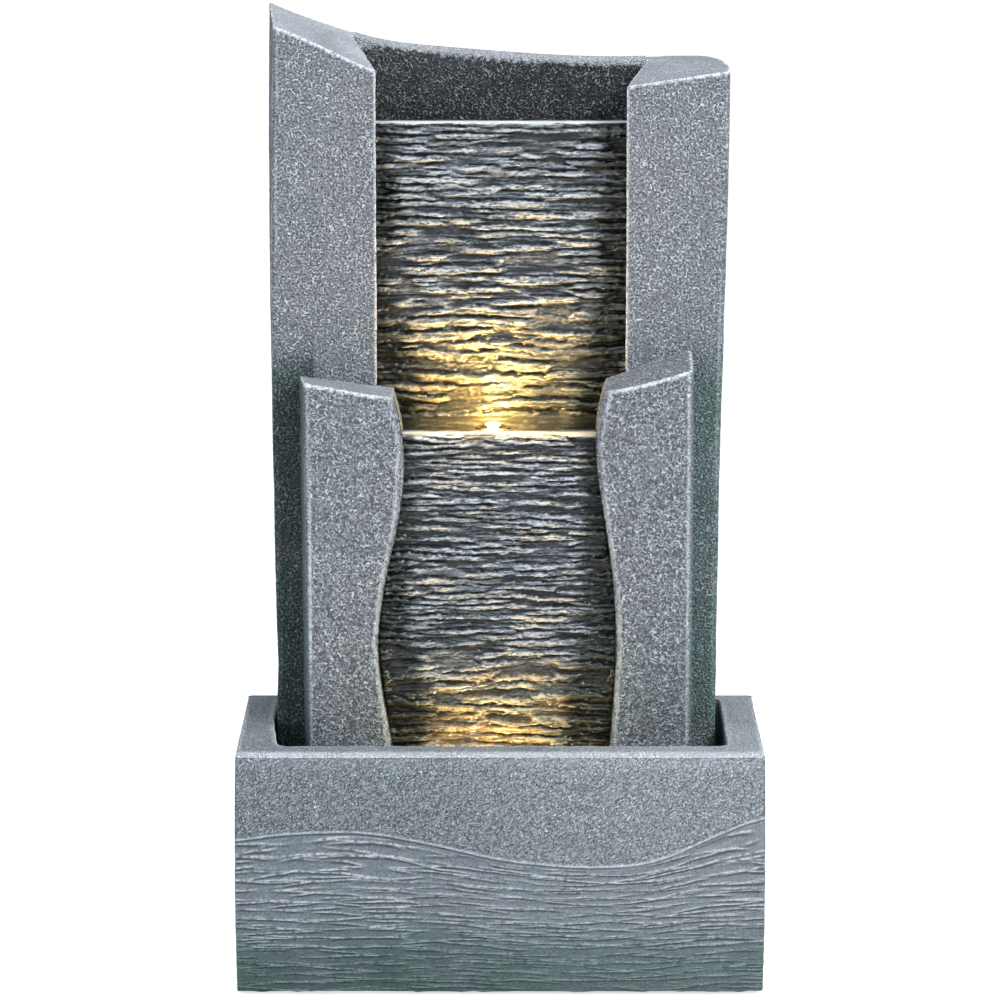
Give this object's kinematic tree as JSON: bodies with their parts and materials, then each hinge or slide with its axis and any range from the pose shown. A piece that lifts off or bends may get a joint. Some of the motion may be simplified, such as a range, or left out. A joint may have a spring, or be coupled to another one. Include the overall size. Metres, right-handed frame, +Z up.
{
  "type": "garden wall fountain",
  "caption": "Two-tier cascade garden fountain: cast tower with swept pillars and slate-like water walls over a bowed basin, with pump, riser hose, lights and rear access door.",
  "frame": {"origin": "on the ground, under the middle of the whole fountain's bounding box", "axes": "+Z up, the cascade faces -Y, the flat back faces +Y, +X is to the right seen from the front"},
  "size_m": [0.45, 0.2477, 0.8246],
  "materials": {
    "cast_stone": "matte",
    "wet_slate": "gloss",
    "black_rubber": "matte",
    "black_plastic": "satin",
    "blue_plastic": "satin",
    "white_plastic": "satin",
    "steel": "satin",
    "ferrite": "matte",
    "white_ceramic": "satin",
    "filter_foam": "matte",
    "clear_hose": "gloss",
    "lit_board": "satin",
    "clear_lens": "gloss"
  },
  "bodies": {
    "fountain": {"basin": "cast_stone", "tower_left": "cast_stone", "tower_right": "cast_stone", "tower_back": "cast_stone", "pocket_floor": "cast_stone", "lower_tier": "cast_stone", "upper_cascade_slab": "wet_slate", "lower_cascade_slab": "wet_slate", "base_feet": "black_rubber", "pump_feet": "black_rubber", "cable_grommet": "black_rubber", "light_foot": "black_rubber", "light_seal": "black_rubber", "shaft_bushes": "black_rubber", "outlet_washer": "black_rubber", "access_frame": "black_plastic", "pump_housing": "black_plastic", "pump_volute": "black_plastic", "light_housing": "black_plastic", "outlet_fitting": "black_plastic", "outlet_nut": "black_plastic", "hinge_pins": "steel", "frame_screws": "steel", "hose_clamps": "steel", "rotor_shaft": "white_ceramic", "riser_hose": "clear_hose", "light_board": "lit_board", "light_lens": "clear_lens"},
    "door": {"access_door": "black_plastic"},
    "stopper": {"drain_stopper": "black_rubber"},
    "rotor": {"impeller": "white_plastic", "rotor_magnet": "ferrite"},
    "strainer": {"intake_cover": "black_plastic", "intake_foam": "filter_foam"},
    "dial": {"flow_dial": "blue_plastic"}
  },
  "joints": [
    {"name": "door_hinge", "type": "hinge", "parent": "fountain", "child": "door", "pos_m": [0.058, 0.1205, 0.29], "axis": [0, 0, -1], "range_deg": [0, 100]},
    {"name": "stopper_pull", "type": "slide", "parent": "fountain", "child": "stopper", "axis": [0, 0, 1], "range_m": [0, 0.06]},
    {"name": "impeller_spin", "type": "hinge", "parent": "fountain", "child": "rotor", "pos_m": [0, 0.088, 0.052], "axis": [1, 0, 0], "continuous": true},
    {"name": "strainer_slide", "type": "slide", "parent": "fountain", "child": "strainer", "axis": [-1, 0, 0], "range_m": [0, 0.03]},
    {"name": "dial_turn", "type": "hinge", "parent": "strainer", "child": "dial", "pos_m": [-0.03, 0.088, 0.052], "axis": [-1, 0, 0], "range_deg": [0, 90]}
  ]
}
